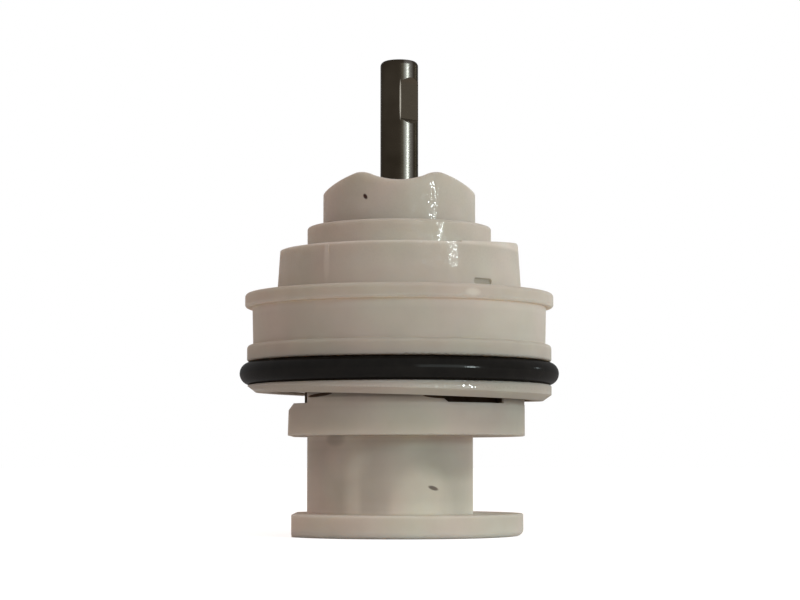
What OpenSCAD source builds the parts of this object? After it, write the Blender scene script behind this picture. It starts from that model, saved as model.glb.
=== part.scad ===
// Single-lever faucet cartridge: a steel stem tilts and turns a carrier, which slides one
// ceramic disc over another to set flow and temperature.
// The foot rests on z = 0 and the axis of the barrel is the z axis.
// Directions round the axis are azimuths in degrees from the front (-y), positive towards +x.

/* [Base] */
// Radius of the deck
base_r = 17.05; // [16.8:0.05:17.6]
// How far the foot's edge lies inside the deck's
foot_set = 0.25; // [0:0.05:0.6]
// Thickness of the foot
foot_h = 3.0; // [2.6:0.1:5]
// Height of the waist between foot and deck
waist_h = 10.4; // [9:0.1:14]
// Thickness of the deck
deck_h = 4.2; // [3.6:0.1:6]
// Depth of the flat on the deck's left side
deck_flat = 2.45; // [1.6:0.05:3]
// Depth of the flat on the foot's left side
foot_flat = 2.6; // [1.6:0.05:3.2]
// Wall of the core round the inlet ducts
core_wall = 1.8; // [1.5:0.1:2.4]
// Wall between the right duct and the core's flat right side
core_cut_wall = 1.73; // [1.4:0.01:2.2]
// Height of the platform that carries the gasket
platform_h = 1.8; // [1.6:0.1:3]
// How far the platform's edge lies inside the deck's
platform_set = 1.45; // [1.35:0.05:1.6]
// Radius of each inlet duct
inlet_r = 2.9; // [2.4:0.1:3.1]
// Radius of the outlet duct
outlet_r = 3.0; // [2.5:0.1:3.2]
// Distance of the outlet duct behind the axis
outlet_y = 2.0; // [1.5:0.1:2.5]

/* [Housing] */
// Gap between the deck and the housing's lip
lip_gap = 0.9; // [0.8:0.1:1.2]
// Wall of the lip, and of the rim above the O-ring
rim_wall = 3.45; // [3.1:0.05:3.7]
// Thickness of the lip
lip_h = 1.8; // [1.6:0.1:2.4]
// Width of the O-ring groove
groove_w = 3.2; // [3.15:0.05:4.2]
// Wall behind the groove
groove_wall = 1.35; // [1.25:0.05:1.6]
// Thickness of the rim above the O-ring
rim_h = 2.2; // [1.4:0.1:2.6]
// Wall of the barrel
barrel_wall = 2.75; // [2.4:0.05:3]
// Height of the barrel between rim and flange
barrel_h = 5.1; // [4.6:0.1:8]
// How far the flange stands out from the barrel
flange_reach = 1.0; // [0.6:0.05:1.6]
// Thickness of the flange
flange_h = 1.9; // [1.4:0.1:2.6]
// Wall of the shoulder
shoulder_wall = 2.05; // [1.6:0.05:2.4]
// Height of the shoulder
shoulder_h = 5.8; // [5.4:0.1:7]
// Thickness of the housing's ceiling
ceiling_t = 2.0; // [1.6:0.1:2.2]
// Wall of the collar
collar_wall = 2.0; // [1.6:0.05:2.4]
// Height of the collar
collar_h = 3.3; // [3.2:0.1:4.5]
// Diameter of the body O-ring's section
o_ring_d = 3.1; // [2.8:0.05:3.1]

/* [Carrier] */
// Radius of the carrier's neck
neck_r = 10.4; // [10:0.05:10.7]
// Height of the neck's rim over the collar
neck_h = 4.5; // [4:0.1:7]
// Radius of the arched top on the neck
arch_r = 20.5; // [18:0.1:24]
// Radius of the scoop along the arched top
scoop_r = 8.75; // [8:0.05:9.5]
// Height of the scoop's floor over the neck's rim
scoop_lift = 0.9; // [0.6:0.05:1.2]
// Radius that rounds the crests beside the scoop
crest_r = 3.5; // [2.5:0.1:4]
// Thickness of the carrier's flange
carrier_flange_t = 2.0; // [1.6:0.1:2.4]
// How far the carrier's flange stands out from the neck
carrier_flange_reach = 2.4; // [2.2:0.05:2.6]
// Thickness of the slip ring
slip_t = 0.6; // [0.4:0.05:0.8]
// Thickness of the glide plate
glide_t = 0.4; // [0.3:0.05:0.6]
// Width of the channel that guides the driver
channel_w = 12.3; // [11.6:0.1:13]
// Half of the swing between hot and cold, in degrees
swing = 50; // [40:1:52]

/* [Stem] */
// Diameter of the stem
stem_d = 5.2; // [4.8:0.05:5.4]
// Length of the stem above the neck's rim
stem_out = 18.6; // [14:0.1:26]
// Length of the stem's round end that takes the handle
grip_l = 16.45; // [10:0.05:16.5]
// Half of the stem's tilt, in degrees
tilt = 12.5; // [10:0.5:12.5]
// Depth of the set-screw notch
notch_depth = 0.6; // [0.4:0.05:0.7]
// Length of the set-screw notch
notch_l = 6.4; // [4:0.1:8]
// Distance of the notch from the stem's top
notch_drop = 2.5; // [1.5:0.1:5]
// Direction that the notch faces
notch_az = 43; // [0:1:90]
// Diameter of the pivot pin
pin_d = 2.5; // [2:0.05:2.6]
// Distance of the pivot pin below the collar's top
pin_drop = 1.8; // [1.6:0.05:1.9]

/* [Discs] */
// Thickness of the fixed disc
fixed_t = 3.4; // [2.8:0.1:3.6]
// Thickness of the moving disc
moving_t = 3.2; // [2.8:0.1:3.4]
// How far the moving disc's edge lies inside the carrier's flange
moving_set = 0.4; // [0.2:0.05:0.5]
// Thickness of the driver's plate
driver_t = 3.4; // [3.2:0.1:3.6]
// Thickness of the port gasket
gasket_t = 1.2; // [1:0.05:1.4]
// Height that the gasket stands proud of its groove
gasket_proud = 0.2; // [0.1:0.05:0.3]
// Thickness of each inlet seal
inlet_seal_t = 1.6; // [1.2:0.1:2]

/* [Hidden] */
$fn = 96;

// Clearances
cut = 1;             // how far a cutting shape runs past the surface it opens
far = 60;            // a length that passes any piece
base_fit = 0.2;      // round the base, in the housing
disc_set = 0.1;      // the fixed disc's edge inside the platform's
flange_room = 0.4;   // round the carrier's flange
lug_room = 0.3;      // round the lug that stops the swing
bore_ease = 0.15;    // the slip ring's bore beyond the housing's
crest_proud = 0.05;  // how far the crests' rounding cuts through the arch
crest_lap = 0.01;    // how far it cuts into the scoop's round floor
run_gap = 0.15;      // round the neck that turns in the collar
slide_gap = 0.1;     // beside a piece that slides
film = 0.02;         // between the two ceramic faces
axial_play = 0.05;   // over and under pieces that turn or slide
pin_gap = 0.05;      // round the pivot pin, in the stem
ball_gap = 0.15;     // round the stem's ball, in the driver
relief = 0.2;        // how far the stem below its grip lies inside it
lift_gap = 0.4;      // from the driver's plate to the shoulder inside the barrel
slot_gap = 0.25;     // round the stem, in the carrier

// Heights from the foot up, inside
deck_z = foot_h + waist_h;
deck_top = deck_z + deck_h;
platform_top = deck_top + platform_h;
fixed_z = platform_top + gasket_proud;
moving_z = fixed_z + fixed_t + film;
driver_z = moving_z + moving_t;
driver_top = driver_z + driver_t;
cavity_top = driver_top + lift_gap;

// Heights from the foot up, outside
lip_z = deck_top + lip_gap;
groove_z = lip_z + lip_h;
rim_z = groove_z + groove_w;
barrel_z = rim_z + rim_h;
flange_z = barrel_z + barrel_h;
shoulder_z = flange_z + flange_h;
collar_z = shoulder_z + shoulder_h;
collar_top = collar_z + collar_h;
ceiling_z = collar_z - ceiling_t;
neck_rim = collar_top + neck_h;
stem_top = neck_rim + stem_out;
pin_z = collar_top - pin_drop;

// Radii of the base and the housing
foot_r = base_r - foot_set;
platform_r = base_r - platform_set;
fixed_r = platform_r - disc_set;
cavity_r = base_r + base_fit;
rim_r = cavity_r + rim_wall;
groove_r = cavity_r + groove_wall;
barrel_r = cavity_r + barrel_wall;
flange_r = barrel_r + flange_reach;
deck_flat_x = base_r - deck_flat;
foot_flat_x = foot_r - foot_flat;

// Carrier and what runs with it
carrier_flange_r = neck_r + carrier_flange_reach;
slip_z = ceiling_z - slip_t;
carrier_flange_top = slip_z - axial_play;
carrier_flange_z = carrier_flange_top - carrier_flange_t;
skirt_z = driver_top + axial_play;
glide_z = carrier_flange_z - glide_t;
tongue_top = glide_z - slide_gap;
tongue_l = 17;
pin_inset = 1.1;
pin_half_l = neck_r - pin_inset;
pin_chamfer = 0.3;
arch_z = neck_rim - sqrt(arch_r * arch_r - neck_r * neck_r);
neck_groove_lift = 0.4;
neck_groove_z = ceiling_z + neck_groove_lift;
neck_groove_w = 1.4;
neck_groove_d = 1.05;
neck_groove_r = neck_r - neck_groove_d;
neck_seal_squeeze = 0.04;
neck_seal_d = neck_groove_d + run_gap - neck_seal_squeeze;

// Housing's inside
chamber_r = carrier_flange_r + flange_room;
lug_half = 35;
lug_reach = 1.5;
lug_r = carrier_flange_r + lug_reach;
swing_room_r = lug_r + lug_room;
swing_room_half = lug_half + swing + 0.3;
bore_r = neck_r + run_gap;
shoulder_r = swing_room_r + shoulder_wall;
collar_r = bore_r + collar_wall;
bore_flare = 0.4;

// Moulded edges and marks of the housing
edge_round = 0.5;
groove_edge = 0.3;
flange_edge = 0.4;
collar_edge = 0.35;
shoulder_draft = 0.38;
barrel_draft = 0.12;
lip_chamfer = 1.15;
lip_chamfer_h = 0.85;
lip_lean = [-0.7, 1.7];
key_rise = 1.15;
key_slope = 4;
key_span = [30, 150];
key_top = collar_z + key_rise;
rib_az = -35;
rib_w = 0.5;
rib_proud = 0.15;
rib_drop = 0.3;
vent_az = 41.5;
vent_w = 3.3;
vent_h = 0.8;
vent_depth = 0.45;
vent_lift = 0.4;

// Base
foot_round = 0.9;
deck_chamfer = 0.73;
edge_small = 0.2;
deck_side_slope = 0.15;
deck_side_drop = 0.9;
platform_flat = 3.15;
platform_flat_x = platform_r - platform_flat;
tab_spans = [[-45, 18], [54, 124], [162, 225]];
tab_set = 0.05;
tab_r = base_r - tab_set;
tab_wall = 1.1;
tab_end = 4;
tab_rise = 3.3;
barb_reach = 0.45;
barb_lift = 2.0;
barb_h = 0.9;
barb_taper = 0.1;
barb_root = 0.55;
barb_room = 0.25;
snap_r = tab_r + barb_reach + barb_room;
tab_ramp_w = 1.2;
tab_ramp_h = 0.9;
tab_ramp_set = 0.1;
tab_ramp_root = 0.5;
key_w = 3.0;
key_d = 1.0;
key_set = 0.3;
key_r = platform_r - key_set - key_d;
key_h = 2.6;
key_gap = 0.15;
window_w = 5.6;
window_sill = 2;
window_head = 2.4;
window_z = [foot_h + window_sill, deck_z - window_head];
duct_overlap = 0.5;
seal_recess_r = 4.2;
inlet_seal_r = 3.1;

// Ports, alike in the gasket and the fixed disc
port_mid_r = 7.8;
port_half_w = 1.4;
port_az = [20, 62];
duct_az = (port_az[0] + port_az[1]) / 2;
port_pocket = 3;
gasket_w = 1.3;
gasket_bridge = 2.4;
gasket_depth = gasket_t - gasket_proud;
core_r = port_mid_r + inlet_r + core_wall;
core_cut_x = port_mid_r * sin(duct_az) + inlet_r + core_cut_wall;

// Moving disc and its mixing chamber
moving_r = carrier_flange_r - moving_set;
mix_r = 5.5;
mix_y = 1.5;
lobe_r = 7.7;
lobe_half = 34;

// Driver
driver_set = 0.1;
driver_r = moving_r - driver_set;
claw_w = 4.0;
claw_t = 1.3;
claw_r = driver_r - claw_t;
claw_lift = 1;
claw_reach = moving_t - claw_lift;
seal_set = 1.4;
seal_mid_r = claw_r - seal_set;
seal_d = 1.2;
seal_groove_w = 1.5;

// Stem and ball
stem_r = stem_d / 2;
ball_r = stem_r;
shank_step = 0.7;
shank_r = stem_r - shank_step;
ball_floor = 1.7;
ball_lift = 0.1;
ball_z = driver_z + ball_floor + ball_r + ball_lift;
shank_drop = 3.3;
shank_top = pin_z - shank_drop;
body_low = shank_top + shank_step;
body_r = stem_r - relief;
stem_round = 0.7;
grip_z = stem_top - stem_round - grip_l;
notch_ramp = 0.7;

function dir(az, r) = [r * sin(az), -r * cos(az)];

// Outline of a port that curves round the axis, with round ends
function port_outline(mid, half_w, a0, a1, n = 10) =
    let (end0 = dir(a0, mid), end1 = dir(a1, mid))
    concat(
        [for (i = [0:n]) dir(a0 + (a1 - a0) * i / n, mid + half_w)],
        [for (i = [1:n - 1]) end1 + dir(a1 + 180 * i / n, half_w)],
        [for (i = [0:n]) dir(a1 + (a0 - a1) * i / n, mid - half_w)],
        [for (i = [1:n - 1]) end0 + dir(a0 + 180 + 180 * i / n, half_w)]);

// Sector of a disc between two azimuths
module pie(r, a0, a1, n = 8) {
    intersection() {
        circle(r);
        polygon(concat([[0, 0]], [for (i = [0:n]) dir(a0 + (a1 - a0) * i / n, 1.4 * r)]));
    }
}

// Half profile of a disc whose lower and upper outer edges are rounded
module disc_profile(r, z0, z1, low, high) {
    mid = (z1 - z0) / 2;
    translate([0, z0]) square([r - low, mid]);
    translate([0, z0 + mid]) square([r - high, mid]);
    translate([0, z0 + low]) square([r, z1 - z0 - low - high]);
    if (low > 0) translate([r - low, z0 + low]) circle(low);
    if (high > 0) translate([r - high, z1 - high]) circle(high);
}

// Washer between two heights
module washer(r_out, r_in, z0, z1) {
    translate([0, 0, z0]) difference() {
        cylinder(r = r_out, h = z1 - z0);
        translate([0, 0, -cut]) cylinder(r = r_in, h = z1 - z0 + 2 * cut);
    }
}

module torus(mid_r, d, z) {
    translate([0, 0, z]) rotate_extrude() translate([mid_r, 0]) circle(d = d);
}

// Turns what faces the front to an azimuth
module facing(az) {
    rotate([0, 0, az]) children();
}

module housing_outside() {
    disc_profile(rim_r, lip_z - cut, groove_z, 0, groove_edge);
    translate([0, groove_z - cut]) square([groove_r, groove_w + 2 * cut]);
    disc_profile(rim_r, rim_z, barrel_z, groove_edge, edge_round);
    polygon([[0, barrel_z - cut], [barrel_r - barrel_draft, barrel_z - cut],
             [barrel_r - barrel_draft, barrel_z], [barrel_r, flange_z], [barrel_r, flange_z + cut],
             [0, flange_z + cut]]);
    disc_profile(flange_r, flange_z, shoulder_z, flange_edge, edge_round);
    disc_profile(collar_r, collar_z - cut, collar_top, 0, collar_edge);
}

module housing_inside() {
    translate([0, lip_z - cut]) square([cavity_r, cavity_top - lip_z + cut]);
    translate([0, deck_top + barb_lift]) square([snap_r, barb_h + barb_taper]);
    translate([0, cavity_top - cut]) square([chamber_r, ceiling_z - cavity_top + cut]);
    translate([0, ceiling_z - cut]) square([bore_r, ceiling_t + collar_h + 2 * cut]);
    polygon([[0, collar_top - bore_flare], [bore_r, collar_top - bore_flare],
             [bore_r + bore_flare + cut, collar_top + cut], [0, collar_top + cut]]);
}

// Shoulder with the raised key on its right, which locates the cartridge in the faucet body
module shoulder() {
    turn_z = key_top - edge_round;
    turn_r = shoulder_r - shoulder_draft * (turn_z - shoulder_z) / shoulder_h;
    difference() {
        rotate_extrude() {
            polygon([[0, shoulder_z - cut], [shoulder_r, shoulder_z - cut], [shoulder_r, shoulder_z],
                     [turn_r, turn_z], [0, turn_z]]);
            square([turn_r - edge_round, key_top]);
            translate([turn_r - edge_round, turn_z]) circle(edge_round);
        }
        translate([0, 0, collar_z]) linear_extrude(far) difference() {
            circle(shoulder_r + cut);
            pie(shoulder_r + 2 * cut, key_span[0], key_span[1]);
        }
        translate([-far, 0, key_top]) rotate([key_slope, 0, 0]) translate([0, -far, 0])
            cube([2 * far, 2 * far, far]);
    }
}

// What lies under the lip's slightly leaning underside, and outside its chamfer
module below_lip() {
    slope = lip_chamfer_h / lip_chamfer;
    translate([0, -rim_r, lip_z]) rotate([-lip_lean[0], lip_lean[1], 0]) translate([0, rim_r, 0]) {
        translate([-far, -far, -far]) cube([2 * far, 2 * far, far]);
        rotate_extrude() polygon([[rim_r - lip_chamfer, -cut], [rim_r + cut, -cut],
                                  [rim_r + cut, lip_chamfer_h + cut * slope], [rim_r - lip_chamfer, 0]]);
    }
}

module housing() {
    color("gainsboro") difference() {
        union() {
            rotate_extrude() housing_outside();
            shoulder();
            facing(rib_az) translate([-rib_w / 2, -shoulder_r - rib_proud + shoulder_draft, shoulder_z - cut])
                cube([rib_w, shoulder_wall, shoulder_h + cut - rib_drop]);
        }
        below_lip();
        rotate_extrude() housing_inside();
        translate([0, 0, cavity_top - cut]) linear_extrude(ceiling_z - cavity_top + cut)
            pie(swing_room_r, 180 - swing_room_half, 180 + swing_room_half);
        facing(vent_az) translate([0, vent_depth - shoulder_r, shoulder_z + vent_lift + vent_h / 2])
            rotate([90, 0, 0]) linear_extrude(cut + vent_depth) vent_outline();
    }
}

// Slot with round ends
module vent_outline() {
    half = (vent_w - vent_h) / 2;
    square([2 * half, vent_h], center = true);
    for (side = [-1, 1]) translate([side * half, 0]) circle(d = vent_h);
}

module ports() {
    polygon(port_outline(port_mid_r, port_half_w, port_az[0], port_az[1]));
    polygon(port_outline(port_mid_r, port_half_w, -port_az[1], -port_az[0]));
    translate([0, outlet_y]) circle(outlet_r);
}

// Outline of the gasket before its ports are cut: three loops and the bridges between them
module gasket_outline() {
    grown = port_half_w + gasket_w;
    polygon(port_outline(port_mid_r, grown, port_az[0], port_az[1]));
    polygon(port_outline(port_mid_r, grown, -port_az[1], -port_az[0]));
    translate([0, outlet_y]) circle(outlet_r + gasket_w);
    translate([-gasket_bridge / 2, -port_mid_r]) square([gasket_bridge, port_mid_r]);
}

module duct_at(side) {
    translate(concat(dir(side * duct_az, port_mid_r), [0])) children();
}

module snap_tab(span) {
    translate([0, 0, deck_top - cut]) linear_extrude(tab_rise + cut) difference() {
        pie(tab_r, span[0], span[1]);
        circle(tab_r - tab_wall);
    }
    translate([0, 0, deck_top + barb_lift]) intersection() {
        difference() {
            cylinder(r1 = tab_r + barb_reach, r2 = tab_r - barb_taper, h = barb_h);
            translate([0, 0, -cut]) cylinder(r = tab_r - barb_root, h = barb_h + 2 * cut);
        }
        linear_extrude(barb_h) pie(tab_r + cut, span[0] + tab_end, span[1] - tab_end);
    }
}

// Slope at the foot of the front tab, where it faces the open gap
module tab_ramp() {
    intersection() {
        washer(tab_r - tab_ramp_set, tab_r - tab_wall + tab_ramp_set, deck_top - cut, platform_top);
        facing(tab_spans[0][1]) rotate([90, 0, 0]) linear_extrude(far)
            polygon([[-tab_ramp_root, deck_top - cut / 2], [tab_ramp_w, deck_top - cut / 2],
                     [tab_ramp_w, deck_top], [0, deck_top + tab_ramp_h],
                     [-tab_ramp_root, deck_top + tab_ramp_h]]);
    }
}

module disc_key() {
    translate([-key_w / 2, key_r, platform_top - cut]) cube([key_w, key_d, key_h + cut]);
}

module base_outside() {
    difference() {
        rotate_extrude() disc_profile(foot_r, 0, foot_h, foot_round, edge_small);
        translate([-foot_flat_x - far, -far / 2, -cut]) cube([far, far, foot_h + 2 * cut]);
    }
    difference() {
        translate([0, 0, foot_h - cut]) cylinder(r = core_r, h = waist_h + 2 * cut);
        translate([core_cut_x, -far / 2, foot_h]) cube([far, far, waist_h]);
    }
    difference() {
        rotate_extrude() disc_profile(base_r, deck_z, deck_top, edge_small, 0);
        rotate([90, 0, 0]) translate([0, 0, -far / 2]) linear_extrude(far)
            polygon([[-deck_flat_x - deck_side_slope, deck_z - cut],
                     [-deck_flat_x, deck_top - deck_side_drop],
                     [deck_chamfer * (1 + cut / deck_side_drop) - deck_flat_x, deck_top + cut],
                     [-far, deck_top + cut],
                     [-far, deck_z - cut]]);
    }
    translate([0, 0, deck_top - cut]) difference() {
        cylinder(r = platform_r, h = platform_h + cut);
        translate([-platform_flat_x - far, -far / 2, -cut]) cube([far, far, platform_h + 3 * cut]);
    }
    for (span = tab_spans) snap_tab(span);
    tab_ramp();
    disc_key();
    mirror([0, 1, 0]) disc_key();
}

module base() {
    color("gainsboro") difference() {
        base_outside();
        translate([0, 0, platform_top - gasket_depth]) linear_extrude(gasket_depth + cut) gasket_outline();
        translate([0, 0, platform_top - gasket_depth - port_pocket]) linear_extrude(port_pocket + cut) ports();
        for (side = [-1, 1]) duct_at(side) {
            translate([0, 0, -cut])
                cylinder(r = inlet_r, h = platform_top - gasket_depth - port_pocket + cut);
            translate([0, 0, -cut]) cylinder(r = seal_recess_r, h = inlet_seal_t + cut);
        }
        translate([0, outlet_y, window_z[0]])
            cylinder(r = outlet_r,
                     h = platform_top - gasket_depth - port_pocket - window_z[0] + duct_overlap);
        translate([-window_w / 2, outlet_y, window_z[0]])
            cube([window_w, far, window_z[1] - window_z[0]]);
    }
}

module body_o_ring() {
    color("dimgray") torus(groove_r + o_ring_d / 2, o_ring_d, groove_z + o_ring_d / 2);
}

module fixed_disc() {
    color("wheat") translate([0, 0, fixed_z]) linear_extrude(fixed_t) difference() {
        circle(fixed_r);
        ports();
        for (side = [-1, 1]) translate([0, side * (key_r - key_gap + far / 2)])
            square([key_w + 2 * key_gap, far], center = true);
    }
}

module port_gasket() {
    color("dimgray") translate([0, 0, platform_top - gasket_depth]) linear_extrude(gasket_t) difference() {
        gasket_outline();
        ports();
    }
}

module inlet_seal() {
    washer(seal_recess_r, inlet_seal_r, 0, inlet_seal_t);
}

module hot_inlet_seal() {
    color("dimgray") duct_at(-1) inlet_seal();
}

module cold_inlet_seal() {
    color("dimgray") duct_at(1) inlet_seal();
}

module slip_ring() {
    color("ivory") washer(carrier_flange_r, bore_r + bore_ease, slip_z, ceiling_z);
}

// Section across the scoop, with the crests beside it rounded over into the arch
module scoop_section() {
    rise = neck_rim + scoop_lift + scoop_r - arch_z;
    inner = arch_r - crest_r + crest_proud;
    outer = scoop_r + crest_r - crest_lap;
    up = (inner * inner - outer * outer + rise * rise) / (2 * rise);
    over = sqrt(inner * inner - up * up);
    wide = 1.3 * arch_r / inner;
    translate([0, arch_z]) difference() {
        union() {
            translate([0, rise]) circle(scoop_r);
            polygon([[0, rise], [over, up], [wide * over, wide * up], [wide * over, 1.6 * rise],
                     [-wide * over, 1.6 * rise], [-wide * over, wide * up], [-over, up]]);
        }
        for (side = [-1, 1]) translate([side * over, up]) circle(crest_r);
    }
}

// Neck whose arched and scooped top runs from front to back
module neck() {
    intersection() {
        translate([0, 0, carrier_flange_z]) cylinder(r = neck_r, h = far);
        rotate([90, 0, 0]) translate([0, 0, -far / 2]) linear_extrude(far) difference() {
            translate([0, arch_z]) circle(arch_r, $fn = 180);
            scoop_section();
        }
    }
}

// Room for the stem to tilt along y, wider the farther it is from the pivot pin
module tilt_slot(low, high, half_w) {
    waist = stem_r / cos(tilt) + slot_gap;
    low_y = waist + (pin_z - low) * tan(tilt);
    high_y = waist + (high - pin_z) * tan(tilt);
    rotate([90, 0, 90]) translate([0, 0, -half_w]) linear_extrude(2 * half_w)
        polygon([[-low_y, low], [low_y, low], [waist, pin_z], [high_y, high], [-high_y, high],
                 [-waist, pin_z]]);
}

module carrier() {
    color("gainsboro") difference() {
        union() {
            neck();
            translate([0, 0, skirt_z]) cylinder(r = carrier_flange_r, h = carrier_flange_top - skirt_z);
            translate([0, 0, carrier_flange_z]) linear_extrude(carrier_flange_t)
                pie(lug_r, 180 - lug_half, 180 + lug_half);
        }
        washer(neck_r + cut, neck_groove_r, neck_groove_z, neck_groove_z + neck_groove_w);
        tilt_slot(carrier_flange_z - cut, neck_rim + arch_r / 3, stem_r + run_gap);
        translate([0, 0, pin_z]) rotate([0, 90, 0]) cylinder(d = pin_d, h = far, center = true);
        translate([-channel_w / 2, -far / 2, skirt_z - cut])
            cube([channel_w, far, carrier_flange_z - skirt_z + cut]);
    }
}

module carrier_o_ring() {
    color("dimgray") torus(neck_groove_r + neck_seal_d / 2, neck_seal_d, neck_groove_z + neck_groove_w / 2);
}

module pivot_pin() {
    color("silver") translate([-pin_half_l, 0, pin_z]) rotate([0, 90, 0])
        rotate_extrude() disc_profile(pin_d / 2, 0, 2 * pin_half_l, pin_chamfer, pin_chamfer);
}

module glide_plate() {
    color("silver") difference() {
        translate([0, 0, glide_z]) linear_extrude(glide_t) intersection() {
            circle(carrier_flange_r - 2 * slide_gap);
            square([channel_w - 2 * slide_gap, far], center = true);
        }
        tilt_slot(glide_z - cut, pin_z + cut, stem_r + run_gap);
    }
}

module stem_profile() {
    disc_profile(stem_r, grip_z, stem_top, 0, stem_round);
    polygon([[0, shank_top], [shank_r, shank_top], [body_r, body_low], [body_r, grip_z],
             [0, grip_z]]);
    translate([0, ball_z]) square([shank_r, shank_top - ball_z]);
    intersection() {
        translate([0, ball_z]) circle(ball_r);
        translate([0, ball_z - ball_r]) square([ball_r, 2 * ball_r]);
    }
}

module notch_cut() {
    high = stem_top - notch_drop;
    low = high - notch_l;
    facing(notch_az) rotate([90, 0, 90]) translate([0, 0, -stem_r]) linear_extrude(stem_d)
        polygon([[-stem_r - cut, low - notch_ramp * cut / notch_depth],
                 [-stem_r + notch_depth, low + notch_ramp],
                 [-stem_r + notch_depth, high - notch_ramp],
                 [-stem_r - cut, high + notch_ramp * cut / notch_depth]]);
}

module stem() {
    color("dimgray") difference() {
        rotate_extrude() stem_profile();
        translate([0, 0, pin_z]) rotate([0, 90, 0])
            cylinder(r = pin_d / 2 + pin_gap, h = 2 * stem_d, center = true);
        notch_cut();
    }
}

module claw() {
    translate([0, 0, driver_z - claw_reach]) linear_extrude(claw_reach + cut) difference() {
        intersection() {
            circle(driver_r);
            translate([0, -claw_w / 2]) square([driver_r + cut, claw_w]);
        }
        circle(claw_r);
    }
}

module disc_driver() {
    color("white") difference() {
        union() {
            translate([0, 0, driver_z]) cylinder(r = driver_r, h = driver_t);
            translate([-channel_w / 2 + slide_gap, -tongue_l / 2, driver_top - cut])
                cube([channel_w - 2 * slide_gap, tongue_l, tongue_top - driver_top + cut]);
            claw();
            mirror([1, 0, 0]) claw();
        }
        translate([0, 0, driver_z + ball_floor]) cylinder(r = ball_r + ball_gap, h = far);
        washer(seal_mid_r + seal_groove_w / 2, seal_mid_r - seal_groove_w / 2, driver_z - cut, driver_z + seal_d);
    }
}

module driver_seal() {
    color("dimgray") torus(seal_mid_r, seal_d, driver_z + seal_d / 2);
}

module moving_disc() {
    color("wheat") translate([0, 0, moving_z]) linear_extrude(moving_t) difference() {
        circle(moving_r);
        translate([0, mix_y]) circle(mix_r);
        pie(lobe_r, -lobe_half, lobe_half);
        for (side = [-1, 1]) translate([side * (claw_r - slide_gap + far / 2), 0])
            square([far, claw_w + 2 * slide_gap], center = true);
    }
}

housing();
base();
body_o_ring();
fixed_disc();
port_gasket();
hot_inlet_seal();
cold_inlet_seal();
slip_ring();
carrier();
carrier_o_ring();
pivot_pin();
glide_plate();
stem();
disc_driver();
driver_seal();
moving_disc();
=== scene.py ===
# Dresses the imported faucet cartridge: camera, light, floor and materials.
# Lengths are in metres, except where a comment gives millimetres.
import math

import bpy
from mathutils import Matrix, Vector

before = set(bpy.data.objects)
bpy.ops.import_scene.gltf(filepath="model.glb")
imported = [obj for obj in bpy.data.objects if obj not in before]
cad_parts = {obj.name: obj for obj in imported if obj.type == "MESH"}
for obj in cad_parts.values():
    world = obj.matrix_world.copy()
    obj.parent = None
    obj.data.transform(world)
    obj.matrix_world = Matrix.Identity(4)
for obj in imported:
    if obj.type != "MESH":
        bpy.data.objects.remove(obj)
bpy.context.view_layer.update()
MM = 0.001


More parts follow.
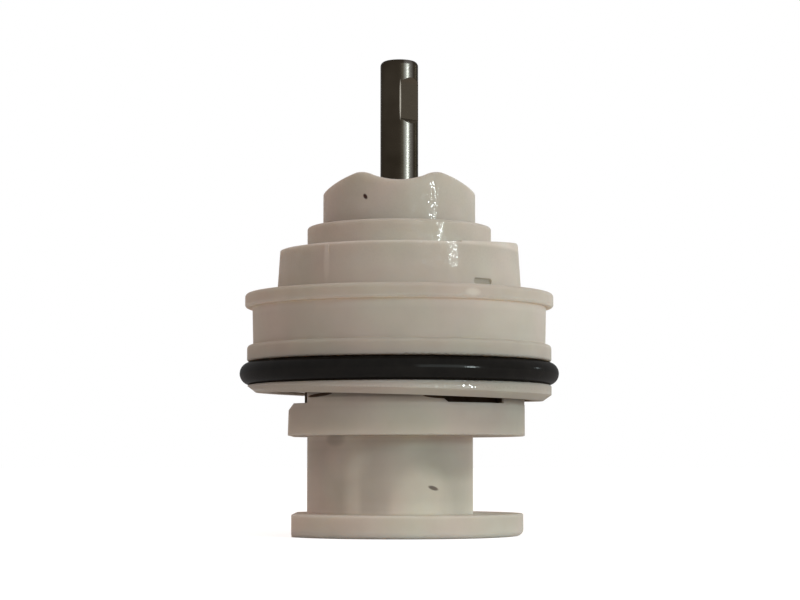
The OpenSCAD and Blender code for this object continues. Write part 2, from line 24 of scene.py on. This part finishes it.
# Shader nodes of one material or world: each method adds nodes and gives back their output
class Tree:
    def __init__(self, owner):
        owner.use_nodes = True
        self.tree = owner.node_tree
        self.tree.nodes.clear()

    # One node; an input's value is either a plain value or another node's output
    def add(self, kind, inputs=None, **props):
        made = self.tree.nodes.new("ShaderNode" + kind)
        for key, value in props.items():
            setattr(made, key, value)
        for key, value in (inputs or {}).items():
            self.feed(made, key, value)
        return made

    def feed(self, node, key, value):
        if isinstance(value, bpy.types.NodeSocket):
            self.tree.links.new(value, node.inputs[key])
        else:
            node.inputs[key].default_value = value

    def math(self, operation, a, b=0.0):
        return self.add("Math", {0: a, 1: b}, operation=operation).outputs[0]

    def times(self, *values):
        product = values[0]
        for value in values[1:]:
            product = self.math("MULTIPLY", product, value)
        return product

    def noise(self, coords, scale, detail=2.0, rough=0.5):
        inputs = {"Vector": coords, "Scale": scale, "Detail": detail, "Roughness": rough}
        return self.add("TexNoise", inputs).outputs["Fac"]

    # Goes evenly from one level to another while a value passes from start to end
    def spread(self, value, start, end, at_start=0.0, at_end=1.0, smooth=False):
        inputs = {"Value": value, "From Min": start, "From Max": end,
                  "To Min": at_start, "To Max": at_end}
        made = self.add("MapRange", inputs, clamp=True)
        if smooth:
            made.interpolation_type = "SMOOTHSTEP"
        return made.outputs["Result"]

    # The same for a length, with its start and end in mm
    def fade(self, length, ends, at_start=0.0, at_end=1.0, smooth=False):
        start, end = ends
        return self.spread(length, start * MM, end * MM, at_start, at_end, smooth)

    def mix(self, factor, a, b, blend="MIX"):
        made = self.add("Mix", data_type="RGBA", blend_type=blend)
        factor_input, a_input, b_input, color_output = 0, 6, 7, 2
        self.feed(made, factor_input, factor)
        self.feed(made, a_input, a)
        self.feed(made, b_input, b)
        return made.outputs[color_output]

    # Grey ramp through (place, level) stops
    def ramp(self, value, stops):
        made = self.add("ValToRGB", {0: value})
        steps = made.color_ramp.elements
        steps.remove(steps[1])
        steps[0].position = stops[0][0]
        for place, level in stops[1:]:
            steps.new(place)
        for step, (place, level) in zip(steps, stops):
            step.color = (level, level, level, 1.0)
        return made.outputs[0]

    # Colour made lighter or darker by a plain number
    def shade(self, color, level):
        grey = self.add("CombineXYZ", {0: level, 1: level, 2: level}).outputs[0]
        return self.mix(1.0, color, grey, "MULTIPLY")

    def coords(self):
        return self.add("TexCoord").outputs["Object"]

    def axes(self):
        parts = self.add("SeparateXYZ", {0: self.coords()})
        return parts.outputs[0], parts.outputs[1], parts.outputs[2]

    # Distance from the barrel's axis
    def radius(self):
        x, y, z = self.axes()
        return self.math("SQRT", self.math("ADD", self.times(x, x), self.times(y, y)))

    # Upward part of the surface's normal: one on flat tops and zero on upright walls
    def facing_up(self):
        normal = self.add("NewGeometry").outputs["Normal"]
        return self.add("SeparateXYZ", {0: normal}).outputs[2]

    def bump(self, height, distance, strength=1.0, normal=None):
        inputs = {"Height": height, "Distance": distance, "Strength": strength}
        if normal is not None:
            inputs["Normal"] = normal
        return self.add("Bump", inputs).outputs["Normal"]

    # One near a point of the surface and zero away from it. Centre and size are in mm, and lean
    # turns the spot in the front view. With distance counted in sizes, the spot fades while the
    # square of the distance goes from core to edge.
    def spot(self, centre, size, lean=0.0, core=0.3, edge=1.2):
        right, back, up = (self.math("SUBTRACT", place, middle * MM)
                           for place, middle in zip(self.axes(), centre))
        c, s = math.cos(math.radians(lean)), math.sin(math.radians(lean))
        along = self.math("ADD", self.times(right, c), self.times(up, s))
        above = self.math("SUBTRACT", self.times(up, c), self.times(right, s))
        total = None
        for off, reach in zip((along, back, above), size):
            scaled = self.math("DIVIDE", off, reach * MM)
            square = self.times(scaled, scaled)
            total = square if total is None else self.math("ADD", total, square)
        return self.spread(total, core, edge, 1.0, 0.0, smooth=True)

    def finish(self, shader):
        out = self.add("OutputMaterial")
        self.tree.links.new(shader, out.inputs["Surface"])


def rgb(r, g, b):
    return (r, g, b, 1.0)


WHITE = rgb(1, 1, 1)
# Painted shade: the dark brown inside gaps and slits
GAP_SHADE_BROWN = rgb(0.06, 0.038, 0.022)

# Milky plastic: colours, noise scales per metre, and how far its gloss dots stand out
ROSY_MILK = rgb(0.48, 0.425, 0.372)
GREENISH_MILK = rgb(0.462, 0.437, 0.372)
PATCH_SCALE = 110.0
CLOUD_SCALE = 240.0
POLISH_SCALE = 700.0
GRAIN_SCALE = 2600.0
SPARKLE_SCALE = 4300.0
SPARKLE_START = 0.545
SPARKLE_FULL = 0.585
GLOSS_BETWEEN_DOTS = 0.002
GLOSS_OF_DOTS = 0.13
GLOSS_ON_TOPS = 0.03


# Milky plastic, translucent and faintly clouded, with a fine moulded grain in its gloss.
# gloss and paint are functions of the tree, flecks are (spot, colour) pairs, and the gloss
# bends round an edge whose heights in mm are round_edge.
def milky_plastic(name, grain, gloss, paint=None, flecks=(), round_edge=None):
    made = bpy.data.materials.new(name)
    t = Tree(made)
    at = t.coords()
    patches = t.spread(t.noise(at, PATCH_SCALE, 2.0, 0.5), 0.35, 0.65)
    clouds = t.spread(t.noise(at, CLOUD_SCALE, 3.0, 0.55), 0.3, 0.7, 0.965, 1.035)
    color = t.shade(t.mix(patches, ROSY_MILK, GREENISH_MILK), clouds)
    if paint is not None:
        color = paint(t, color)
    for place, shade in flecks:
        color = t.mix(t.spot(**place), color, shade)
    upright = t.add("Mapping", {"Vector": at, "Scale": (1.0, 1.0, 0.8)}).outputs[0]
    normal = t.bump(t.noise(upright, GRAIN_SCALE, 1.0, 0.5), grain)
    if round_edge is not None:
        x, y, z = t.axes()
        edge_depth = 0.05 * MM
        normal = t.bump(t.fade(z, round_edge, 1.0, 0.0), edge_depth, normal=normal)
    dots = t.spread(t.noise(upright, SPARKLE_SCALE, 0.0, 0.5), SPARKLE_START, SPARKLE_FULL,
                    GLOSS_BETWEEN_DOTS, GLOSS_OF_DOTS)
    dull_tops = t.spread(t.facing_up(), 0.55, 0.85, 1.0, GLOSS_ON_TOPS)
    skin = t.add("BsdfPrincipled", {
        "Base Color": color,
        "Roughness": t.spread(t.noise(at, POLISH_SCALE), 0.3, 0.7, 0.25, 0.35),
        "Subsurface Weight": 0.85,
        "Subsurface Radius": (1.0, 0.85, 0.7),
        "Subsurface Scale": 0.0045,
        "IOR": 1.4,
        "Specular IOR Level": 0.0,
        "Coat Weight": t.times(dots, t.times(gloss(t), dull_tops)),
        "Coat Roughness": 0.08,
        "Coat IOR": 2.5,
        "Coat Normal": normal,
    })
    t.finish(skin.outputs[0])
    return made


# How glossy each moulding's skin is: full where it is polished, faint where it is matte.
# Pairs of numbers here and below are the heights, or distances from the axis, in mm between
# which something fades in or out.
POLISHED_SHOULDER = (35.0, 35.6)
LIP_EDGE_FOOT = (19.3, 19.35)
LIP_EDGE_HEAD = (19.7, 19.65)
LIP_EDGE_GLOSS = 2.6
NECK_CREST = (47.0, 47.4)
DECK_EDGE = (17.0, 17.3)


def housing_gloss(t):
    x, y, z = t.axes()
    upper = t.fade(z, POLISHED_SHOULDER, 0.06, 1.0)
    lip_edge = t.times(t.fade(z, LIP_EDGE_FOOT), t.fade(z, LIP_EDGE_HEAD), LIP_EDGE_GLOSS)
    return t.math("MAXIMUM", upper, lip_edge)


def carrier_gloss(t):
    x, y, z = t.axes()
    return t.fade(z, NECK_CREST, 1.0, 0.06)


def base_gloss(t):
    x, y, z = t.axes()
    return t.fade(z, DECK_EDGE, 0.12, 0.3)


# Painted light and shade: the walls are painted paler at their feet and darker at their rims, in
# place of the light that soaks through the plastic and evens out their shading.
# The stops are (height in mm, level), and the levels lie between 0 and 2.
def painted_light_by_height(t, color, stops):
    x, y, z = t.axes()
    low, high = stops[0][0], stops[-1][0]
    places = [((height - low) / (high - low), level / 2) for height, level in stops]
    level = t.ramp(t.fade(z, (low, high)), places)
    return t.shade(color, t.times(level, 2.0))


# Painted light and shade up the housing: lip, rim, barrel, flange, shoulder and collar, with
# tight steps where one meets the next that lighten the shadow under a ledge and darken a lit
# edge
HOUSING_PAINTED_LEVELS = [
    (18.5, 1.06), (20.3, 0.9), (23.5, 0.88), (25.0, 0.87), (25.3, 0.86), (25.65, 0.82),
    (25.72, 1.0), (25.76, 1.22), (26.0, 1.06), (27.0, 1.02), (29.5, 1.06), (30.3, 1.2),
    (30.6, 1.36), (30.77, 1.52), (30.8, 1.42), (30.84, 1.38), (30.92, 1.16), (31.2, 1.0),
    (32.4, 0.95), (32.65, 0.97), (32.8, 1.12), (35.0, 1.08), (38.1, 0.98), (38.5, 1.22),
    (39.6, 1.12), (41.8, 0.95)]
LIP_TOP = (21.0, 20.5)
LIP_SHADE_ACROSS = (2.0, 13.0)
LIP_SHADE = 0.22
LIP_INSIDE = (17.3, 18.6)
GAP_LEFT_END = (-12.2, -11.8)
VENT = dict(centre=(10.7, -12.1, 33.5), size=(2.2, 2.4, 0.8), core=0.7, edge=1.2)
VENT_DEPTH = (16.36, 16.52)
# Painted shade inside the sunken vent
VENT_SHADE_COLOR = rgb(0.43, 0.39, 0.325)
# Painted highlight on the flange under the vent
PAINTED_HIGHLIGHT_SPOT = dict(centre=(9.5, -19.5, 31.6), size=(1.15, 4.0, 0.6), core=0.02, edge=1.2)
PAINTED_HIGHLIGHT_COLOR = rgb(0.66, 0.63, 0.56)
PAINTED_HIGHLIGHT_COVER = 0.6
# Painted highlight along the shoulder's rib
RIB_HIGHLIGHT = dict(centre=(-9.5, -13.6, 36.0), size=(0.5, 3.0, 3.4), core=0.1, edge=1.0)
RIB_HIGHLIGHT_COLOR = rgb(0.62, 0.57, 0.5)
RIB_HIGHLIGHT_COVER = 0.55


# Painted light and shade: levels by height, the lip painted darker to the right, brown shade
# painted inside the gap over the base, shade painted in the sunken vent with a painted highlight
# under it, and a painted highlight along the shoulder's rib
def housing_paint(t, color):
    x, y, z = t.axes()
    # Painted shade: the lip darker towards the right
    shaded = t.times(t.fade(z, LIP_TOP), t.fade(x, LIP_SHADE_ACROSS))
    color = t.shade(color, t.math("SUBTRACT", 1.0, t.times(shaded, LIP_SHADE)))
    # Painted light and shade by height
    color = painted_light_by_height(t, color, HOUSING_PAINTED_LEVELS)
    # Painted shade: brown inside the gap over the base
    inside = t.fade(t.radius(), LIP_INSIDE, 1.0, 0.0, smooth=True)
    gap = t.times(t.fade(z, LIP_TOP), inside, t.fade(x, GAP_LEFT_END))
    color = t.mix(gap, color, GAP_SHADE_BROWN)
    # Painted shade inside the sunken vent
    vent = t.times(t.fade(t.radius(), VENT_DEPTH, 1.0, 0.0), t.spot(**VENT))
    color = t.mix(vent, color, VENT_SHADE_COLOR)
    # Painted highlight on the flange under the vent
    color = t.mix(t.times(t.spot(**PAINTED_HIGHLIGHT_SPOT), PAINTED_HIGHLIGHT_COVER), color, PAINTED_HIGHLIGHT_COLOR)
    # Painted highlight along the shoulder's rib
    return t.mix(t.times(t.spot(**RIB_HIGHLIGHT), RIB_HIGHLIGHT_COVER), color, RIB_HIGHLIGHT_COLOR)


DECK_INSIDE = (16.6, 16.9)
OVER_DECK = (17.6, 17.7)
SEAM_FOOT = (18.15, 18.45)
SEAM_HEAD = (19.5, 19.3)
# Painted shade along the seam and in the two slits
SEAM_SHADE = 0.35
LEFT_SLIT_SHADE = dict(centre=(-10.2, -12.9, 18.6), size=(1.9, 4.0, 0.24), lean=6, core=0.6, edge=1.1)
RIGHT_SLIT_SHADE = dict(centre=(4.9, -15.8, 18.28), size=(2.1, 4.0, 0.22), lean=-4, core=0.6, edge=1.1)


# Painted shade: brown inside the gap under the housing, on the base's side, with a thin dark
# seam line and its two open slits painted dark
def base_gap_shade(t, color):
    x, y, z = t.axes()
    # Painted shade inside the gap, along the seam and in the two slits
    deep = t.times(t.fade(t.radius(), DECK_INSIDE, 1.0, 0.0), t.fade(z, OVER_DECK))
    seam_shade = t.times(t.fade(z, SEAM_FOOT, 0.0, SEAM_SHADE, smooth=True), t.fade(z, SEAM_HEAD))
    slits = t.math("MAXIMUM", t.spot(**LEFT_SLIT_SHADE), t.spot(**RIGHT_SLIT_SHADE))
    seam_shade = t.math("MAXIMUM", seam_shade, slits)
    return t.mix(t.math("MAXIMUM", deep, seam_shade), color, GAP_SHADE_BROWN)


# Painted light and shade up the base: foot, core and deck, as (height in mm, level)
BASE_PAINTED_LEVELS = [
    (0.0, 1.4), (0.6, 1.28), (2.5, 1.2), (2.95, 1.32), (3.05, 1.45), (3.6, 1.26), (5.0, 1.12),
    (7.5, 1.04), (9.5, 0.93), (11.5, 0.9), (12.6, 1.1), (13.3, 1.5), (13.45, 1.06),
    (15.0, 0.95), (17.0, 0.93), (17.6, 1.1), (18.2, 1.1)]
# Bands of painted light and shade across the core, from its left to its right, as (place, level)
# with 0.5 for no change
CORE_WIDTH = (-12.5, 10.0)
CORE_BANDS = [
    (0.0, 0.5), (0.12, 0.49), (0.22, 0.475), (0.265, 0.545), (0.31, 0.55), (0.345, 0.48),
    (0.4, 0.465), (0.47, 0.475), (0.52, 0.5), (0.78, 0.5), (0.82, 0.47), (0.92, 0.475),
    (1.0, 0.5)]
BAND_CONTRAST = 2.8
BAND_FOOT = (12.5, 5.0)
CORE_FOOT = (2.95, 3.3)
CORE_HEAD = (13.5, 13.2)
# Patches of painted light and shade on the core: a pale arch, a shadow in the hollow under the
# deck, the left side lighter and the right darker, and how much lighter or darker each is
# Painted light: a pale arch low on the core's front
ARCH = dict(centre=(2.9, -12.0, 2.6), size=(4.4, 9.0, 7.2), core=0.55, edge=1.25)
ARCH_LIGHT = 0.13
# Painted shadow in the hollow under the deck at the left
HOLLOW_SHADOW = dict(centre=(-8.4, -9.3, 12.9), size=(1.6, 3.0, 1.1), core=0.1, edge=1.2)
HOLLOW_SHADOW_DARK = 0.25
# Painted shade on the core's right side and painted light on its left
RIGHT_SIDE = dict(centre=(6.3, -8.5, 10.4), size=(6.0, 8.0, 3.4), core=0.2, edge=1.2)
RIGHT_SIDE_DARK = 0.17
LEFT_SIDE = dict(centre=(-6.5, -9.0, 10.4), size=(3.6, 5.0, 3.4), core=0.2, edge=1.2)
LEFT_SIDE_LIGHT = 0.16
# Painted shade: foot and deck grow darker to the right, the deck more than the foot
DIM_ACROSS = (6.0, 15.0)
DIM_UP = (0.0, 17.0)
DIM_AT_FOOT = 0.14
DIM_AT_DECK = 0.25


# Painted light and shade: lighter and darker bands on the core stand in for its inner walls and
# ducts showing through its skin
def base_paint(t, color):
    x, y, z = t.axes()
    # Painted light and shade by height
    color = painted_light_by_height(t, color, BASE_PAINTED_LEVELS)
    on_core = t.times(t.fade(z, CORE_FOOT), t.fade(z, CORE_HEAD))
    # Painted light and shade in bands across the core
    bands = t.math("SUBTRACT", t.ramp(t.fade(x, CORE_WIDTH), CORE_BANDS), 0.5)
    bands = t.times(bands, BAND_CONTRAST, t.fade(z, BAND_FOOT, smooth=True), on_core)
    # Painted light and shade on the core: the pale arch, the shadow under the deck, the lighter
    # left and darker right
    arch = t.times(t.spot(**ARCH), on_core, ARCH_LIGHT)
    hollow_shadow = t.times(t.spot(**HOLLOW_SHADOW), HOLLOW_SHADOW_DARK)
    left = t.times(t.spot(**LEFT_SIDE), LEFT_SIDE_LIGHT)
    right = t.times(t.spot(**RIGHT_SIDE), RIGHT_SIDE_DARK)
    sides = t.times(t.math("SUBTRACT", left, right), on_core)
    # Painted shade: foot and deck darker towards the right
    dim_up = t.fade(z, DIM_UP, DIM_AT_FOOT, DIM_AT_DECK)
    dim = t.times(t.fade(x, DIM_ACROSS), dim_up, t.math("SUBTRACT", 1.0, on_core))
    level = t.math("ADD", t.math("ADD", 1.0, bands), arch)
    level = t.math("ADD", t.math("SUBTRACT", level, hollow_shadow), sides)
    return base_gap_shade(t, t.shade(color, t.math("SUBTRACT", level, dim)))


NOTCH_FOOT = (55.9, 56.0)
NOTCH_HEAD = (62.5, 62.4)
NOTCH_DEPTH = (2.54, 2.57)
NOTCH_METAL = rgb(0.06, 0.05, 0.037)
# Painted highlight along the notch's left edge
NOTCH_EDGE_HIGHLIGHT = dict(centre=(0.15, -2.6, 59.2), size=(0.1, 0.4, 2.75), core=0.6, edge=1.2)
NOTCH_HIGHLIGHT_METAL = rgb(0.4, 0.37, 0.32)
# Painted highlight: a lighter streak down the stem's front right that brightens its highlight
STREAK_HIGHLIGHT = dict(centre=(1.25, -2.2, 56.0), size=(0.75, 1.4, 30.0), core=0.1, edge=1.2)
STREAK_HIGHLIGHT_METAL = rgb(0.1, 0.092, 0.082)


# Bare metal in the stem's notch, a painted highlight along the notch's left edge, and a painted
# highlight streak down the stem's front right side
def stem_paint(t, color):
    x, y, z = t.axes()
    at_notch = t.times(t.fade(z, NOTCH_FOOT), t.fade(z, NOTCH_HEAD))
    face = t.times(at_notch, t.fade(t.radius(), NOTCH_DEPTH, 1.0, 0.0))
    color = t.mix(face, color, NOTCH_METAL)
    # Painted highlight along the notch's left edge
    color = t.mix(t.times(t.spot(**NOTCH_EDGE_HIGHLIGHT), at_notch), color, NOTCH_HIGHLIGHT_METAL)
    # Painted highlight streak down the stem's front right
    streak_highlight = t.times(t.spot(**STREAK_HIGHLIGHT), t.math("SUBTRACT", 1.0, face))
    return t.mix(streak_highlight, color, STREAK_HIGHLIGHT_METAL)


# Drawn or ground steel with fine marks round it, between a dark and a light colour and
# between two roughnesses; edge is the tint of its reflections at grazing angles
def marked_steel(name, dark, light, rough_low, rough_high, edge=1.0, paint=None):
    made = bpy.data.materials.new(name)
    t = Tree(made)
    at = t.coords()
    flattened = t.add("Mapping", {"Vector": at, "Scale": (1.0, 1.0, 6.0)}).outputs[0]
    marks = t.noise(flattened, 700.0, 3.0, 0.6)
    color = t.mix(t.spread(t.noise(at, 260.0), 0.3, 0.7), rgb(*dark), rgb(*light))
    if paint is not None:
        color = paint(t, color)
    skin = t.add("BsdfPrincipled", {
        "Base Color": color,
        "Metallic": 1.0,
        "Specular Tint": rgb(edge, edge, edge),
        "Roughness": t.spread(marks, 0.3, 0.7, rough_low, rough_high),
        "Normal": t.bump(marks, 0.01 * MM, 0.8),
    })
    t.finish(skin.outputs[0])
    return made


# Black rubber with a faint moulded bloom
def black_rubber(name):
    made = bpy.data.materials.new(name)
    t = Tree(made)
    at = t.coords()
    bloom = t.noise(at, 400.0, 3.0, 0.6)
    color = t.mix(t.spread(bloom, 0.35, 0.7),
                  rgb(0.0045, 0.0038, 0.003), rgb(0.008, 0.007, 0.0055))
    skin = t.add("BsdfPrincipled", {
        "Base Color": color,
        "Roughness": t.spread(bloom, 0.3, 0.7, 0.4, 0.5),
        "Specular IOR Level": 0.0,
        "Coat Weight": 0.085,
        "Coat Roughness": 0.12,
        "Coat IOR": 1.8,
        "Coat Normal": t.bump(t.noise(at, 1800.0, 2.0, 0.6), 0.02 * MM, 0.5),
    })
    t.finish(skin.outputs[0])
    return made


# Fired ceramic, lapped, or a plain matte moulding: a fine speckle over one colour
def plain_grain(name, dark, light, rough, scale):
    made = bpy.data.materials.new(name)
    t = Tree(made)
    speck = t.noise(t.coords(), scale, 3.0, 0.65)
    color = t.mix(t.spread(speck, 0.35, 0.65), rgb(*dark), rgb(*light))
    skin = t.add("BsdfPrincipled", {
        "Base Color": color,
        "Roughness": t.spread(speck, 0.3, 0.7, rough - 0.06, rough + 0.06),
        "Normal": t.bump(speck, 0.02 * MM, 0.3),
    })
    t.finish(skin.outputs[0])
    return made


FINE_GRAIN = 0.02 * MM
COARSE_GRAIN = 0.03 * MM
NECK_FLECK = dict(centre=(-4.5, -9.4, 45.05), size=(0.28, 0.8, 0.46), lean=30)
CORE_FLECK = dict(centre=(4.45, -11.7, 6.5), size=(0.8, 0.8, 0.3), lean=-18)

rubber = black_rubber("rubber")
ceramic = plain_grain("ceramic", (0.74, 0.71, 0.63), (0.82, 0.79, 0.71), 0.3, 900.0)
inner_steel = marked_steel("pin_steel", (0.45, 0.43, 0.4), (0.55, 0.53, 0.5), 0.25, 0.35)
# Every other node is rubber
MATERIALS = {
    "housing": milky_plastic("housing_plastic", FINE_GRAIN, housing_gloss,
                             paint=housing_paint, round_edge=(19.25, 19.75)),
    "base": milky_plastic("base_plastic", FINE_GRAIN, base_gloss, paint=base_paint,
                          flecks=[(CORE_FLECK, rgb(0.19, 0.16, 0.135))]),
    "carrier": milky_plastic("carrier_plastic", COARSE_GRAIN, carrier_gloss,
                             flecks=[(NECK_FLECK, rgb(0.05, 0.022, 0.017))]),
    # Darker than bare steel
    "stem": marked_steel("stem_steel", (0.024, 0.019, 0.013), (0.036, 0.029, 0.021),
                         0.24, 0.32, edge=0.5, paint=stem_paint),
    "pivot_pin": inner_steel,
    "glide_plate": inner_steel,
    "fixed_disc": ceramic,
    "moving_disc": ceramic,
    "disc_driver": plain_grain("driver_plastic", (0.68, 0.67, 0.64), (0.74, 0.73, 0.7),
                               0.5, 700.0),
    "slip_ring": plain_grain("slip_plastic", (0.74, 0.72, 0.65), (0.8, 0.78, 0.71),
                             0.42, 600.0),
}
for node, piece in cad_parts.items():
    chosen = MATERIALS.get(node, rubber)
    for slot in piece.material_slots:
        slot.material = chosen


# One where the camera, a reflection or glass looks straight at the surface, else zero
def seen_directly(t):
    path = t.add("LightPath")
    first = t.math("MAXIMUM", path.outputs["Is Camera Ray"], path.outputs["Is Glossy Ray"])
    return t.math("MAXIMUM", first, path.outputs["Is Transmission Ray"])


# Floor, pale and lit, which the camera and reflections see as white where no shadow falls
FLOOR_REACH = 6.0
FLOOR_DROP = 0.02 * MM
FLOOR_GLOW = 0.75
floor_mesh = bpy.data.meshes.new("floor")
floor_mesh.from_pydata([(-FLOOR_REACH, -FLOOR_REACH, -FLOOR_DROP),
                        (FLOOR_REACH, -FLOOR_REACH, -FLOOR_DROP),
                        (FLOOR_REACH, FLOOR_REACH, -FLOOR_DROP),
                        (-FLOOR_REACH, FLOOR_REACH, -FLOOR_DROP)], [], [(0, 1, 2, 3)])
floor = bpy.data.objects.new("floor", floor_mesh)
bpy.context.collection.objects.link(floor)
floor_material = bpy.data.materials.new("floor")
t = Tree(floor_material)
matte = t.add("BsdfDiffuse", {"Color": rgb(0.8, 0.8, 0.8)})
glow = t.add("Emission", {"Color": WHITE, "Strength": t.times(seen_directly(t), FLOOR_GLOW)})
t.finish(t.add("AddShader", {0: matte.outputs[0], 1: glow.outputs[0]}).outputs[0])
floor_mesh.materials.append(floor_material)

# The room's warm light is stronger from the sides than from above; looked at directly, the
# world is plain white
ROOM_COLOR = rgb(0.93, 0.77, 0.72)
ROOM_AT_HORIZON = 0.79
ROOM_OVERHEAD = 0.38
world = bpy.data.worlds.new("studio")
bpy.context.scene.world = world
t = Tree(world)
up = t.add("SeparateXYZ", {0: t.add("TexCoord").outputs["Generated"]}).outputs[2]
brightness = t.spread(up, 0.0, 0.9, ROOM_AT_HORIZON, ROOM_OVERHEAD)
room = t.add("Background", {"Color": ROOM_COLOR, "Strength": brightness})
white = t.add("Background", {"Color": WHITE, "Strength": 1.0})
both = t.add("MixShader", {0: seen_directly(t), 1: room.outputs[0], 2: white.outputs[0]})
out = t.add("OutputWorld")
t.tree.links.new(both.outputs[0], out.inputs["Surface"])

# Cool area lamps that face the housing. Azimuth counts from the front towards the right.
LAMP_COLOR = (0.86, 1.0, 1.0)
LAMP_AIM = Vector((0, 0, 0.035))
LAMPS = [
    {"name": "strip", "azimuth": 52, "elevation": 9.7, "distance": 0.6,
     "size": (0.07, 0.09), "power": 1.15},
    {"name": "softbox", "azimuth": 31, "elevation": 14, "distance": 0.8,
     "size": (0.5, 0.3), "power": 1.25},
    {"name": "rear", "azimuth": 118, "elevation": 12, "distance": 0.7,
     "size": (0.05, 0.06), "power": 0.14},
]
for lamp in LAMPS:
    data = bpy.data.lights.new(lamp["name"], "AREA")
    data.shape = "RECTANGLE"
    data.size, data.size_y = lamp["size"]
    data.energy = lamp["power"]
    data.color = LAMP_COLOR
    made = bpy.data.objects.new(lamp["name"], data)
    turn, rise = math.radians(lamp["azimuth"]), math.radians(lamp["elevation"])
    outward = Vector((math.sin(turn) * math.cos(rise), -math.cos(turn) * math.cos(rise),
                      math.sin(rise)))
    made.location = LAMP_AIM + outward * lamp["distance"]
    made.rotation_mode = "QUATERNION"
    made.rotation_quaternion = (-outward).to_track_quat("-Z", "Y")
    bpy.context.collection.objects.link(made)

# The camera stands low in front and looks up a little
CAMERA_PLACE = (0.0001, -0.290, 0.00947)
CAMERA_TILT = 4.44
camera_data = bpy.data.cameras.new("camera")
camera_data.lens = 95.8
camera_data.sensor_width = 36.0
camera_data.clip_start = 0.01
camera_data.clip_end = 50.0
camera = bpy.data.objects.new("camera", camera_data)
camera.location = CAMERA_PLACE
camera.rotation_euler = (math.radians(90 + CAMERA_TILT), 0, 0)
bpy.context.collection.objects.link(camera)
bpy.context.scene.camera = camera
bpy.context.scene.view_settings.view_transform = "Standard"
